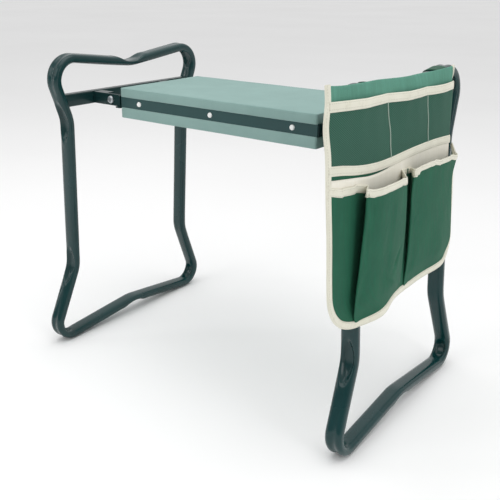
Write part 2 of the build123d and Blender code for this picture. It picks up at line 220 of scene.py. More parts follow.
class Nodes:
    """A material's node tree with short ways to add what is used here."""

    def __init__(self, name, **constants):
        self.material = bpy.data.materials.new(name)
        self.material.use_nodes = True
        self.tree = self.material.node_tree
        self.shader = self.tree.nodes["Principled BSDF"] if "Principled BSDF" in self.tree.nodes else None
        if self.shader is None:
            self.tree.nodes.clear()
            output = self.tree.nodes.new("ShaderNodeOutputMaterial")
            self.shader = self.tree.nodes.new("ShaderNodeBsdfPrincipled")
            self.tree.links.new(self.shader.outputs[0], output.inputs[0])
        for key, value in constants.items():
            self.shader.inputs[key.replace("_", " ")].default_value = value
        self.coords = self.tree.nodes.new("ShaderNodeTexCoord")

    def link(self, source, target):
        self.tree.links.new(source, target)
        return target

    def scaled(self, scale, kind="Object"):
        mapping = self.tree.nodes.new("ShaderNodeMapping")
        mapping.inputs["Scale"].default_value = scale
        self.link(self.coords.outputs[kind], mapping.inputs["Vector"])
        return mapping.outputs[0]

    def noise(self, scale, detail=3.0, roughness=0.5, kind="Object", stretch=(1, 1, 1)):
        node = self.tree.nodes.new("ShaderNodeTexNoise")
        node.inputs["Scale"].default_value = scale
        node.inputs["Detail"].default_value = detail
        node.inputs["Roughness"].default_value = roughness
        self.link(self.scaled(stretch, kind), node.inputs["Vector"])
        return node.outputs["Fac"]

    def cells(self, scale, kind="Object", randomness=1.0, stretch=(1, 1, 1), offset=(0, 0, 0)):
        node = self.tree.nodes.new("ShaderNodeTexVoronoi")
        node.inputs["Scale"].default_value = scale
        node.inputs["Randomness"].default_value = randomness
        mapping = self.scaled(stretch, kind)
        mapping.node.inputs["Location"].default_value = offset
        self.link(mapping, node.inputs["Vector"])
        return node.outputs["Distance"]

    def ridges(self, period, axis, kind="UV"):
        """A sine across one axis with a period in metres, from 0 to 1."""
        node = self.tree.nodes.new("ShaderNodeTexWave")
        node.bands_direction = axis
        node.inputs["Scale"].default_value = math.pi / 10 / period / 1000
        node.inputs["Detail"].default_value = 0
        self.link(self.scaled((1000, 1000, 1000), kind), node.inputs["Vector"])
        return node.outputs["Fac"]

    def separate(self, kind="UV"):
        node = self.tree.nodes.new("ShaderNodeSeparateXYZ")
        self.link(self.coords.outputs[kind], node.inputs[0])
        return node.outputs

    def math(self, operation, a, b=None):
        node = self.tree.nodes.new("ShaderNodeMath")
        node.operation = operation
        for socket, value in zip(node.inputs, (a, b)):
            if value is None:
                continue
            if isinstance(value, (int, float)):
                socket.default_value = value
            else:
                self.link(value, socket)
        return node.outputs[0]

    def remap(self, value, low, high, new_low=0.0, new_high=1.0, soft=False):
        node = self.tree.nodes.new("ShaderNodeMapRange")
        node.interpolation_type = "SMOOTHSTEP" if soft else "LINEAR"
        for key, number in zip(RANGE_SOCKETS, (low, high, new_low, new_high)):
            node.inputs[key].default_value = number
        self.link(value, node.inputs["Value"])
        return node.outputs[0]

    def mix(self, factor, a, b, blend="MIX"):
        node = self.tree.nodes.new("ShaderNodeMix")
        node.data_type = "RGBA"
        node.blend_type = blend
        for key, value in ((0, factor), (6, a), (7, b)):
            if hasattr(value, "is_linked") or hasattr(value, "node"):
                self.link(value, node.inputs[key])
            else:
                node.inputs[key].default_value = value
        return node.outputs[2]

    def colour(self, socket):
        self.link(socket, self.shader.inputs["Base Color"])
        return self

    def roughness(self, socket):
        self.link(socket, self.shader.inputs["Roughness"])
        return self

    def relief(self, *layers):
        """Bump layers as (height socket, strength, distance in metres), the coarsest first."""
        previous = None
        for height, strength, distance in layers:
            node = self.tree.nodes.new("ShaderNodeBump")
            node.inputs["Strength"].default_value = strength
            node.inputs["Distance"].default_value = distance
            self.link(height, node.inputs["Height"])
            if previous is not None:
                self.link(previous, node.inputs["Normal"])
            previous = node.outputs[0]
        self.link(previous, self.shader.inputs["Normal"])
        return self


def paint(name, dark, light, rough, peel=0.25):
    """Sprayed paint on steel: orange peel, a little dust and fine rub marks."""
    m = Nodes(name, Coat_Weight=0.3, Coat_Roughness=0.06, Specular_IOR_Level=0.25)
    cloud = m.noise(9, 4, 0.55)
    speck = m.noise(900, 2, 0.6)
    tone = m.mix(m.remap(cloud, 0.35, 0.65), linear(dark), linear(light))
    rubbed = m.remap(m.noise(160, 5, 0.75, stretch=(1, 1, 0.12)), 0.66, 0.8, 0, 0.16, soft=True)
    m.colour(m.mix(rubbed, tone, linear("#7f9492")))
    m.roughness(m.remap(cloud, 0.3, 0.7, rough - 0.04, rough + 0.07))
    m.relief((m.noise(420, 2, 0.4), peel, 0.00015), (speck, 0.12, 0.00006))
    return m.material


def metal(name, tone, rough):
    """Bright zinc plating with turning marks."""
    m = Nodes(name, Metallic=0.9)
    grain = m.noise(700, 4, 0.7)
    m.colour(m.mix(m.remap(grain, 0.3, 0.7), linear(tone), linear("#c9cdd0")))
    m.roughness(m.remap(grain, 0.3, 0.7, rough - 0.08, rough + 0.1))
    m.relief((grain, 0.15, 0.0001))
    return m.material


def foam(name, face, shade):
    """Closed-cell foam: fine pores, slight mottling and pressed grain."""
    m = Nodes(name, Specular_IOR_Level=0.25, Sheen_Weight=0.08, Sheen_Roughness=0.6)
    mottle = m.noise(22, 5, 0.6)
    pores = m.cells(900)
    tone = m.mix(m.remap(mottle, 0.3, 0.7), linear(face), linear(shade))
    # Painted shade: the foam is darker at the bottom of its pores.
    pore_shade = m.remap(pores, 0.0, 0.35, 0.22, 0.0, soft=True)
    m.colour(m.mix(pore_shade, tone, linear("#5d7f76")))
    m.roughness(m.remap(mottle, 0.3, 0.7, 0.78, 0.9))
    pressed = m.noise(60, 3, 0.5)
    grain = m.noise(1500, 2, 0.5)
    m.relief((pressed, 0.18, 0.0006), (pores, 0.35, 0.0002), (grain, 0.2, 0.0001))
    return m.material


def cloth(name, thread, shade, period=0.00062, sheen=0.12, rough=0.72):
    """Coated polyester with a plain weave: UVs are metres on the cloth."""
    m = Nodes(name, Specular_IOR_Level=0.22, Sheen_Weight=sheen, Sheen_Roughness=0.45)
    warp, weft = m.ridges(period, "X"), m.ridges(period * 1.15, "Y")
    weave = m.math("MULTIPLY", m.math("SUBTRACT", warp, 0.5), m.math("SUBTRACT", weft, 0.5))
    uneven = m.noise(26, 5, 0.6)
    slub = m.noise(240, 3, 0.7, kind="UV", stretch=(1, 0.08, 1))
    tone = m.mix(m.remap(uneven, 0.3, 0.7), linear(thread), linear(shade))
    worn = m.mix(m.remap(slub, 0.45, 0.75, 0, 0.3), tone, linear(shade), "SCREEN")
    lit = m.remap(weave, -0.25, 0.25, 0.0, 0.3)
    m.colour(m.mix(lit, worn, linear(thread), "MULTIPLY"))
    m.roughness(m.remap(slub, 0.3, 0.7, rough - 0.08, rough + 0.1))
    m.relief((m.noise(70, 4, 0.6), 0.22, 0.0012), (weave, 0.5, 0.00012))
    return m.material


def tape(name, thread, shade, width):
    """Woven binding: ribs across it and a dashed line of stitches near each edge."""
    m = Nodes(name, Specular_IOR_Level=0.3, Sheen_Weight=0.15, Sheen_Roughness=0.5)
    ribs = m.ridges(0.0009, "X")
    uv = m.separate("UV")
    dash = m.math("LESS_THAN", m.math("FRACT", m.math("DIVIDE", uv["X"], 0.0034)), 0.68)
    lines = [
        m.math("LESS_THAN", m.math("ABSOLUTE", m.math("SUBTRACT", uv["Y"], t * MM)), 0.0004)
        for t in (2.0, width - 2.2)
    ]
    stitch = m.math("MULTIPLY", dash, m.math("MAXIMUM", lines[0], lines[1]))
    uneven = m.noise(38, 4, 0.6)
    tone = m.mix(m.remap(uneven, 0.3, 0.7), linear(thread), linear(shade))
    soiled = m.mix(m.remap(m.noise(120, 4, 0.7), 0.55, 0.8, 0, 0.25), tone, linear("#a79f86"))
    # Painted shade: the tape is darker in the troughs between its ribs.
    rib_shaded = m.mix(m.remap(ribs, 0.0, 1.0, 0.16, 0.0), soiled, linear("#9b937c"))
    m.colour(m.mix(m.math("MULTIPLY", stitch, 0.35), rib_shaded, linear("#a8a493")))
    m.roughness(m.remap(uneven, 0.3, 0.7, 0.74, 0.9))
    dent = m.math("SUBTRACT", ribs, m.math("MULTIPLY", stitch, 1.6))
    m.relief((m.noise(150, 4, 0.6), 0.25, 0.0006), (dent, 0.45, 0.00022))
    return m.material


def net(name, thread, hole):
    """Knitted net over the cloth behind it: staggered round holes."""
    m = Nodes(name, Specular_IOR_Level=0.2, Sheen_Weight=0.02, Sheen_Roughness=0.5)
    size = (1 / 0.0042, 1 / 0.0026, 1)
    first = m.cells(1.0, "UV", 0.0, size)
    second = m.cells(1.0, "UV", 0.0, size, offset=(0.5, 0.5, 0))
    near = m.math("MINIMUM", first, second)
    opening = m.remap(near, 0.22, 0.36, 1.0, 0.0, soft=True)
    uneven = m.noise(18, 4, 0.6)
    tone = m.mix(m.remap(uneven, 0.3, 0.7), linear(thread), linear("#1e4638"))
    m.colour(m.mix(m.math("MULTIPLY", opening, 0.55), tone, linear(hole)))
    m.roughness(m.remap(opening, 0, 1, 0.62, 0.85))
    m.relief((m.noise(45, 3, 0.5), 0.15, 0.001), (opening, -0.5, 0.0004))
    return m.material


def board(name):
    """Pressed fibre board painted dark, seen only at the edges of the seat."""
    m = Nodes(name)
    fibre = m.noise(260, 6, 0.7, stretch=(0.15, 1, 1))
    m.colour(m.mix(m.remap(fibre, 0.3, 0.7), linear("#4a3b2a"), linear("#6d5a41")))
    m.roughness(m.remap(fibre, 0.3, 0.7, 0.7, 0.9))
    m.relief((fibre, 0.4, 0.0004))
    return m.material


def moulded(name, tone, shade, rough):
    """Moulded plastic: slight mottling and a fine spark-eroded grain."""
    m = Nodes(name, Specular_IOR_Level=0.5)
    cloud = m.noise(80, 3, 0.5)
    m.colour(m.mix(m.remap(cloud, 0.3, 0.7), linear(tone), linear(shade)))
    m.roughness(m.remap(cloud, 0.3, 0.7, rough - 0.05, rough + 0.08))
    m.relief((m.noise(1400, 2, 0.5), 0.15, 0.0001))
    return m.material


TUBE_PAINT = paint("tube_paint", "#093132", "#0e3839", 0.24)
RAIL_PAINT = paint("rail_paint", "#163e3e", "#1b4545", 0.34)
FRAME_PAINT = paint("frame_paint", "#092829", "#0f3030", 0.3)
FOAM = foam("foam_green", "#82a09b", "#8aa8a3")
BAG_CLOTH = cloth("bag_cloth", "#1d5b45", "#226249", sheen=0.03)
# Painted highlight: a lighter copy of the bag cloth for the top hem, which faces up and takes more light.
LIT_HEM_CLOTH = cloth("bag_hem_cloth_painted_highlight", "#578f7c", "#5e9785", sheen=0.03)
LINING = cloth("bag_lining_cloth", "#ece8db", "#f3f0e5", sheen=0.05)
NET = net("bag_net", "#1b4034", "#4d7f6c")
TAPE_WIDTH = 10.5
TAPE = tape("beige_tape", "#e3e1d0", "#ebe9da", TAPE_WIDTH)
WEBBING = cloth("strap_webbing", "#24523f", "#2b5c47", period=0.0011, sheen=0.1)
ZINC = metal("zinc", "#9ea4a8", 0.34)
WHITE = moulded("white_rivet", "#eceeec", "#f4f5f3", 0.32)
NYLON = moulded("nylon", "#202322", "#2a2d2c", 0.5)
BOARD = board("fibre_board")


def repaint(node, material):
    """Gives a CAD node its finish without touching its mesh."""
    slots = nodes[node].material_slots
    if not slots:
        nodes[node].data.materials.append(material)
    for slot in nodes[node].material_slots:
        slot.link = "OBJECT"
        slot.material = material


for node in nodes:
    if node.endswith("_crossbar") or node.endswith("_bracket") or node.endswith("_end_channel"):
        repaint(node, FRAME_PAINT)
    elif node.endswith("_rail"):
        repaint(node, RAIL_PAINT)
    elif node.endswith("_bolts") or node.endswith("_nuts"):
        repaint(node, ZINC)
    elif node.endswith("_spacers"):
        repaint(node, NYLON)
repaint("rail_rivets", WHITE)
repaint("seat_board", BOARD)


# ------------------------------------------------------------------ bent tube frames
HANDLE_HALF, HANDLE_TOP, HANDLE_DROP = 174.0, 71.0, 22.0
WAIST_HALF, WAIST_TOP, WAIST_LOW = 135.0, -31.0, -283.0
FOOT_HALF, FOOT_LOW, FOOT_RISE = 192.0, -414.0, 20.0
MIDDLE_RADIUS, HANDLE_RADIUS, WAIST_RADIUS, FOOT_RADIUS = 90.0, 32.0, 60.0, 28.0
LOOP = [
    (0, HANDLE_TOP - HANDLE_DROP), (HANDLE_HALF, HANDLE_TOP), (WAIST_HALF, WAIST_TOP),
    (WAIST_HALF, WAIST_LOW), (FOOT_HALF, FOOT_LOW), (0, FOOT_LOW + FOOT_RISE), (-FOOT_HALF, FOOT_LOW),
    (-WAIST_HALF, WAIST_LOW), (-WAIST_HALF, WAIST_TOP), (-HANDLE_HALF, HANDLE_TOP),
]
LOOP_RADII = [
    MIDDLE_RADIUS, HANDLE_RADIUS, WAIST_RADIUS, WAIST_RADIUS, FOOT_RADIUS,
    MIDDLE_RADIUS, FOOT_RADIUS, WAIST_RADIUS, WAIST_RADIUS, HANDLE_RADIUS,
]
# At each bend: dent depth, half width, half length; outer groove depth, half length
HANDLE_DIP = (4.6, 19.0, 34.0, 0.0, 30.0)
HANDLE_CORNER = (4.6, 9.5, 30.0, 2.4, 40.0)
WAIST = (6.0, 10.0, 36.0, 0.6, 26.0)
FOOT_CORNER = (5.0, 9.5, 26.0, 2.9, 36.0)
FOOT_MIDDLE = (3.8, 19.0, 30.0, 0.0, 30.0)
LOOP_DENTS = [
    HANDLE_DIP, HANDLE_CORNER, WAIST, WAIST, FOOT_CORNER,
    FOOT_MIDDLE, FOOT_CORNER, WAIST, WAIST, HANDLE_CORNER,
]
TUBE_STEP = 2.5
TUBE_SIDES = 56
TUBE_GIRTH = 66.0
# Exponent of the tube's oval section, between an ellipse and a rectangle
OVAL = 2 / 2.9


def oval(turn, half_n, half_m):
    """Offsets out of and in the frame's plane round a tube's oval section."""
    n = half_n * np.sign(np.cos(turn)) * np.abs(np.cos(turn)) ** OVAL
    m = half_m * np.sign(np.sin(turn)) * np.abs(np.sin(turn)) ** OVAL
    return n, m


def rounded_loop(points, radii, step):
    """Closed polyline with round corners: positions, tangents, lengths, each bend's place and turn, total."""
    points = np.array(points, float)
    count = len(points)
    where, heading, bends = [], [], []
    total = 0.0
    starts, ends, corners = [], [], []
    for i in range(count):
        before = unit(points[i] - points[i - 1])
        after = unit(points[(i + 1) % count] - points[i])
        turn = math.atan2(before[0] * after[1] - before[1] * after[0], before @ after)
        reach = radii[i] * math.tan(abs(turn) / 2)
        corners.append((before, after, turn))
        starts.append(points[i] - before * reach)
        ends.append(points[i] + after * reach)
    for i in range(count):
        before, after, turn = corners[i]
        arc = radii[i] * abs(turn)
        side = np.array([-before[1], before[0]]) * np.sign(turn)
        centre = starts[i] + side * radii[i]
        steps = max(6, int(arc / step))
        bends.append((total + arc / 2, np.sign(turn)))
        for k in range(steps):
            t = abs(turn) * k / steps
            where.append(centre - side * radii[i] * math.cos(t) + before * radii[i] * math.sin(t))
            c, s = math.cos(turn * k / steps), math.sin(turn * k / steps)
            heading.append((before[0] * c - before[1] * s, before[0] * s + before[1] * c))
        total += arc
        run = starts[(i + 1) % count] - ends[i]
        length = float(np.linalg.norm(run))
        steps = max(2, int(length / step))
        for k in range(steps):
            where.append(ends[i] + run * k / steps)
            heading.append(tuple(after))
        total += length
    where = np.array(where)
    gaps = np.linalg.norm(np.roll(where, -1, 0) - where, axis=1)
    along = np.concatenate([[0], np.cumsum(gaps)[:-1]])
    return where, np.array(heading), along * total / gaps.sum(), bends, total


def tube_loop(side, name):
    """An end frame's tube, pressed in at the inside of each bend."""
    where, heading, along, bends, total = rounded_loop(LOOP, LOOP_RADII, TUBE_STEP)
    turn = np.linspace(0, 2 * math.pi, TUBE_SIDES, endpoint=False)
    across, inplane = oval(turn, TUBE_WIDTH / 2, TUBE_DEPTH / 2)
    n = np.repeat(across[None], len(where), 0)
    m = np.repeat(inplane[None], len(where), 0)
    for (middle, hand), shape in zip(bends, LOOP_DENTS):
        dent, half_width, half_length, groove, groove_length = shape
        gap = (along - middle + total / 2) % total - total / 2
        gap = gap[:, None]
        reach = np.sqrt((gap / half_length) ** 2 + (n / half_width) ** 2)
        inside = smoothstep(0.5, 5.5, hand * m)
        outside = smoothstep(0.5, 5.5, -hand * m)
        pressed = dent * (1 - smoothstep(0.5, 1.0, reach)) - 0.6 * bump(reach, 1.1, 0.15)
        folded = groove * bump(gap, 0, groove_length) * bump(n, 0, 4.6)
        squeeze = 0.09 * bump(gap, 0, half_length)
        m = m * (1 - squeeze) - hand * pressed * inside + hand * folded * outside
        n = n * (1 + 0.35 * squeeze)
    ring_normal = np.stack([-heading[:, 1], heading[:, 0]], 1)
    u = where[:, :1] + ring_normal[:, :1] * m
    v = where[:, 1:] + ring_normal[:, 1:] * m
    points = place(side, u, v, n)
    around = np.linspace(0, TUBE_GIRTH * MM, TUBE_SIDES)
    uvs = np.stack(np.broadcast_arrays(along[:, None] * MM, around[None]), -1).reshape(-1, 2)
    faces = grid_faces(len(where), TUBE_SIDES, wrap_rows=True, wrap_cols=True)
    return make_object(name, points.reshape(-1, 3), faces, uvs, TUBE_PAINT)


for side, hand in ((-1, "left"), (1, "right")):
    loop = tube_loop(side, f"{hand}_tube_loop")
    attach(loop, f"{hand}_frame")
    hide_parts(f"{hand}_frame_tube")


# ------------------------------------------------------------------ foam pads
PAD_CUTS = (40, 22)


def foam_pad(name, node, outer, seed):
    """A die-cut foam pad: softly rounded edges, a faintly uneven face on its outer side (1 up, -1 down)."""
    low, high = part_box(node)
    b = bmesh.new()
    bmesh.ops.create_cube(b, size=1.0)
    for v in b.verts:
        v.co = Vector((low[i] + (v.co[i] + 0.5) * (high[i] - low[i]) for i in range(3)))
    upright = [e for e in b.edges if abs(e.verts[0].co.z - e.verts[1].co.z) > 1e-6]
    bmesh.ops.bevel(b, geom=upright, offset=0.003, segments=4, profile=0.5, affect="EDGES")
    rims = [e for e in b.edges if abs(e.verts[0].co.z - e.verts[1].co.z) < 1e-6]
    bmesh.ops.bevel(b, geom=rims, offset=0.0013, segments=3, profile=0.5, affect="EDGES")
    for axis, cuts in enumerate(PAD_CUTS):
        normal = Vector([1.0 if i == axis else 0.0 for i in range(3)])
        for k in range(1, cuts):
            at = low[axis] + (high[axis] - low[axis]) * k / cuts
            geom = b.verts[:] + b.edges[:] + b.faces[:]
            bmesh.ops.bisect_plane(b, geom=geom, plane_co=normal * at, plane_no=normal, dist=1e-6)
    middle = (low + high) / 2
    half = (high - low) / 2
    for v in b.verts:
        p = v.co.copy()
        face = noise.noise(p * 14 + Vector((seed, 0, 0))) * 0.00022 + noise.noise(p * 55) * 0.00008
        side_y = noise.noise(Vector((p.x * 30, seed, p.z * 60))) * 0.0002
        crown = (1 - ((p.x - middle.x) / half.x) ** 4) * (1 - ((p.y - middle.y) / half.y) ** 4)
        if (p.z - middle.z) * outer > 0:
            v.co.z += outer * (0.0004 * crown) + face
        if abs(abs(p.y - middle.y) - half.y) < 1e-4:
            v.co.y += side_y
    bmesh.ops.recalc_face_normals(b, faces=b.faces)
    mesh = bpy.data.meshes.new(name)
    b.to_mesh(mesh)
    b.free()
    mesh.materials.append(FOAM)
    mesh.polygons.foreach_set("use_smooth", [True] * len(mesh.polygons))
    mesh.set_sharp_from_angle(angle=math.radians(50))
    pad = bpy.data.objects.new(name, mesh)
    bpy.context.scene.collection.objects.link(pad)
    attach(pad, "seat")
    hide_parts(node)


foam_pad("sitting_pad", "upper_pad", 1, 3.0)
foam_pad("kneeling_pad", "lower_pad", -1, -5.0)


# ------------------------------------------------------------------ tool bag: where its cloth lies
PANEL_N = 14.7
BAG_BOTTOM = -221.0
NEAR_CORNER = 58.0
FAR_CORNER = 40.0
ROLL_FROM = 118.0
ROLL_RADIUS = 7.0


def top_line(p):
    """Height of the bag's top edge at p across the cloth; the next lines are lower ones."""
    places = [-217, -205, -142, -100, -68, -20, 18, 60, 100, 124]
    return ramp(p, places, [78.5, 77, 73.8, 73, 71.2, 69, 69, 68.4, 68.8, 69.4])


def net_top(p):
    places = [-217, -180, -142, -110, -75, -30, 20, 60, 124]
    return ramp(p, places, [60.5, 58.5, 56.4, 55.6, 54.2, 51.5, 50.6, 49.0, 48.6])


def middle_line(p):
    places = [-217, -190, -154, -120, -66, -16, 43, 90, 126]
    return ramp(p, places, [-9.5, -13.5, -20, -24, -25.4, -24.4, -24.2, -26, -28.5])


def lining_line(p):
    return ramp(p, [-217, -154, -123, -88, -44, 0, 126], [-25, -33.6, -37.4, -37.6, -33.5, -30, -32])


def seam_one(v):
    """Place across the cloth of the net's first seam at a height, and of its second one below."""
    return ramp(v, [-30, 10, 44, 60], [-70.5, -74, -80, -81])


def seam_two(v):
    return ramp(v, [-36, 6, 44, 60], [42, 38.5, 34, 33])


def left_line(v):
    """The near edge of the cloth, with its rounded bottom corner."""
    v = np.asarray(v, float)
    edge = -218.3 - 6.5 * bump(v, 33, 25) - 1.2 * bump(v, 78, 12) + 0.9 * np.sin(v / 23)
    edge = edge + 1.6 * smoothstep(-120, -170, v)
    drop = np.clip((BAG_BOTTOM + NEAR_CORNER - v) / NEAR_CORNER, 0, 1)
    return edge + NEAR_CORNER * (1 - np.sqrt(1 - drop**2))


def right_line(v):
    """The far edge, measured along the cloth where it rolls back."""
    v = np.asarray(v, float)
    heights = [-222, -160, -110, -76, -50, -30, 44, 60, 78]
    edge = ramp(v, heights, [141, 141.5, 141, 139, 136, 135, 135, 131, 127.5])
    drop = np.clip((BAG_BOTTOM + FAR_CORNER - v) / FAR_CORNER, 0, 1)
    return edge - FAR_CORNER * (1 - np.sqrt(1 - drop**2))


def hem_swing(u, v):
    """How far the hem swings outwards, away from the frame's legs."""
    out = 15.5 * bump(u, -112, 47) + 3.5 * bump(u, 88, 36)
    return out * smoothstep(-140, BAG_BOTTOM - 4, v) ** 1.25


def panel(p, v, lift=0.0):
    """(u, v, n) on the back panel at p along the cloth and height v, lifted off its face."""
    p, v, lift = np.broadcast_arrays(*(np.asarray(a, float) for a in (p, v, lift)))
    roll = smoothstep(-82, -54, v) * (1 - 0.7 * smoothstep(48, 68, v))
    over = np.maximum(p - ROLL_FROM, 0.0)
    rate = np.maximum(roll, 1e-4) / ROLL_RADIUS
    angle = over * rate
    u = np.minimum(p, ROLL_FROM) + np.sin(angle) / rate + lift * np.sin(angle)
    u = np.where(over > 0, u, p)
    back = (1 - np.cos(angle)) / rate
    fold_in = (0.6 + 4.2 * bump(p, -5, 95)) * smoothstep(54, 78, v)
    belly = 1.8 * bump(v, -25, 55) * bump(p, -60, 95) + 0.5 * np.sin(p / 27 + v / 60) * bump(v, 10, 90)
    n = PANEL_N + belly - fold_in + hem_swing(p, v) - back + lift * np.cos(angle)
    return u, v, n


def on_bag(u, v, n):
    return place(1, u, v, n)


def rows_down(top, count, corner_rows=15):
    """Heights from a top value to the bottom, closer together round the bottom corners."""
    start = BAG_BOTTOM + NEAR_CORNER
    straight = np.linspace(0, 1, count, endpoint=False)[:, None] * (start - top)[None] + top[None]
    angles = np.linspace(0, math.pi / 2, corner_rows)
    corner = np.repeat((start - NEAR_CORNER * np.sin(angles))[:, None], len(top), 1)
    return np.concatenate([straight, corner], 0)


def spread(v, share, inset=0.0):
    """p across the cloth at each height for shares from 0 at the near edge to 1 at the far one."""
    left, right = left_line(v) + inset, right_line(v) - inset
    return left + (right - left) * share


# ------------------------------------------------------------------ tool bag: back panel and top hem
def add_sheet(
    name, points, material, thickness, replaces,
):
    """A sheet of cloth that rides on the right frame."""
    obj = sheet_object(name, points, material, thickness)
    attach(obj, "right_frame")
    if replaces:
        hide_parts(replaces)


PANEL_COLUMNS = 92
HEM_FOLD = 1.2
HEM_LIFT = 1.1
share = np.linspace(0, 1, PANEL_COLUMNS)
v = rows_down(top_line(spread(0.0, share)) - HEM_FOLD, 58)
p = spread(v, share[None])
add_sheet(
    "bag_panel", on_bag(*panel(p, v)), BAG_CLOTH, 1.0, "bag_back_panel",
)

# The hem's cloth goes up the front, over the top edge and 14 mm down the back.
p_line = np.linspace(-216.5, 123.0, PANEL_COLUMNS)
hem_v, hem_lift = [], []
crest = top_line(p_line)
low_front = net_top(p_line) - 6.0
for t in np.linspace(0, 1, 11):
    hem_v.append(low_front + (crest - HEM_FOLD - low_front) * t)
    hem_lift.append(np.full_like(p_line, HEM_LIFT))
for angle in np.linspace(0, math.pi, 7)[1:-1]:
    hem_v.append(crest - HEM_FOLD + HEM_FOLD * np.sin(angle))
    hem_lift.append(HEM_LIFT * np.cos(angle) + 0 * p_line)
for t in np.linspace(0, 1, 7):
    hem_v.append(crest - HEM_FOLD - 14.0 * t)
    hem_lift.append(np.full_like(p_line, -HEM_LIFT))
hem_v, hem_lift = np.array(hem_v), np.array(hem_lift)
# The hem wears the lighter copy of the bag cloth, a painted highlight.
add_sheet(
    "bag_top_hem", on_bag(*panel(np.repeat(p_line[None], len(hem_v), 0), hem_v, hem_lift)),
    LIT_HEM_CLOTH, 0.7, None,
)

# ------------------------------------------------------------------ tool bag: net pocket
def net_lift(p, v):
    """How far the net stands off the panel: three shallow pockets between the seams."""
    top, low = net_top(p), middle_line(p)
    height = np.clip((v - low) / (top - low), 0, 1)
    one, two = seam_one(v), seam_two(v)
    left, right = left_line(v), right_line(v) - 8.0
    far_cells = np.where(p < two, (p - one) / (two - one), (p - two) / (right - two))
    cell = np.where(p < one, (p - left) / (one - left), far_cells)
    belly = np.sin(math.pi * np.clip(cell, 0, 1)) ** 0.75
    gather = 0.35 * np.sin(p / 6.1 + 1.2 * np.sin(v / 17)) * belly
    return 1.2 + belly * 5.2 * height**0.8 + gather * height


def net_heights(p, down):
    return net_top(p) + (middle_line(p) - 5.0 - net_top(p)) * down


share = np.linspace(0, 1, 150)
down = np.linspace(0, 1, 40)[:, None]
v = net_heights(spread(20.0, share, 1.5)[None], down)
p = spread(v, share[None], 1.0)
v = net_heights(p, down)
add_sheet(
    "bag_net_pocket", on_bag(*panel(p, v, net_lift(p, v))), NET, 0.6, "bag_mesh_pocket",
)


def ride_tape(obj, replaces=None):
    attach(obj, "right_frame")
    if replaces:
        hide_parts(replaces)


def surface_tape(name, p, v, lift, thickness, replaces):
    """A tape that follows a line on the panel; its width runs down the cloth."""
    here = on_bag(*panel(p, v, lift))
    below = on_bag(*panel(p, v - 0.5, lift))
    along = unit(np.gradient(here, axis=0))
    normal = unit(np.cross(along, unit(below - here)))
    inward = unit(np.cross(normal, along))
    ride_tape(band_object(name, here, inward, normal, TAPE_WIDTH, thickness, TAPE), replaces=replaces)


p = np.linspace(-217.0, 122.5, 150)
surface_tape("bag_net_tape", p, net_top(p), net_lift(p, net_top(p)) + 0.3, 2.3, "bag_mesh_tape")
surface_tape("bag_tape_middle", p, middle_line(p), 1.7 + 0.25 * np.sin(p / 19), 2.2, "bag_middle_tape")
THREAD = tape("seam_thread", "#8ca296", "#9bafa3", 1.5)
for k, seam in enumerate((seam_one, seam_two)):
    v = np.linspace(float(net_top(seam(50.0))) - 9.5, float(middle_line(seam(-20.0))) + 0.5, 40)
    p = seam(v) + 0.5 * np.sin(v / 5.5)
    here = on_bag(*panel(p, v, 2.0))
    along = unit(np.gradient(here, axis=0))
    normal = unit(on_bag(*panel(p, v, 3.0)) - here)
    inward = unit(np.cross(normal, along))
    seam_obj = band_object(f"bag_net_seam_{k + 1}", here, inward, normal, 1.3, 1.3, THREAD, rise=0.65)
    ride_tape(seam_obj)

# ------------------------------------------------------------------ tool bag: lining
LINING_BOTTOM = -128.0
share = np.linspace(0, 1, PANEL_COLUMNS)
down = np.linspace(0, 1, 24)[:, None]
p = spread(-60.0, share, 1.5)[None]
v = lining_line(p) + (LINING_BOTTOM - lining_line(p)) * down
p = spread(v, share[None], 1.5)
add_sheet(
    "bag_lining_cloth", on_bag(*panel(p, v, 1.25 + 0.25 * np.sin(p / 23))), LINING, 0.5, "bag_lining",
)

# ------------------------------------------------------------------ tool bag: pleated pockets
LEVELS = [-48.0, -75.0, -110.0, -150.0, -190.0, -221.0]
# u and n of each fold of the pocket cloth at each level, and its rounding
FOLDS = [
    ("near edge", 0.0, [-217, -217, -217, -217, -217, -169], [16.2, 16.4, 16.5, 16.5, 16.4, 16.4]),
    ("flat part", 14.0, [-172, -172, -174, -176, -180, -163], [18.2, 18.0, 17.6, 17.4, 17.3, 17.8]),
    ("first root", 2.2, [-126, -128, -132, -138, -145, -149], [16.8, 16.9, 16.9, 16.9, 17.4, 18.8]),
    ("first fold", 4.0, [-161, -161, -165, -169, -173, -163], [34, 33.0, 31.2, 29, 26.2, 20.6]),
    ("first front near", 20.0, [-130, -132, -134, -134, -134, -132], [38.4, 38.2, 36.6, 35, 34, 31.0]),
    ("first front far", 20.0, [-84, -82, -80, -78, -76, -80], [38.6, 37.6, 35.6, 33.4, 31, 28.6]),
    ("first far fold", 3.5, [-53, -48, -43, -39, -36.5, -38], [33.4, 31.6, 28.6, 25.2, 21.6, 18.3]),
    ("second root", 4.0, [-36, -33, -31, -29, -29, -30], [17.2, 16.9, 16.7, 16.6, 16.5, 17.2]),
    ("third root", 2.2, [-7, -8, -9, -10, -12, -12], [17.0, 16.8, 16.7, 16.6, 16.5, 16.6]),
    ("second fold", 3.5, [-33, -35, -28, -24, -22, -22], [34, 31.4, 27.9, 24.2, 20.6, 18.2]),
    ("second front near", 25.0, [8, 6, 8, 10, 12, 14], [37.4, 36.4, 33.6, 29.4, 24.6, 17.6]),
    ("second front far", 25.0, [66, 62, 66, 72, 78, 72], [35.6, 34.8, 33.4, 31.2, 27.4, 20.2]),
    ("second far fold", 5.5, [113, 104, 111, 119, 126, 101], [33.4, 31.2, 27.8, 24.8, 22.0, 19.6]),
    ("far edge", 0.0, [130, 131, 134, 138, 139.5, 103], [16.2, 16.2, 16.2, 16.2, 16.2, 16.4]),
]
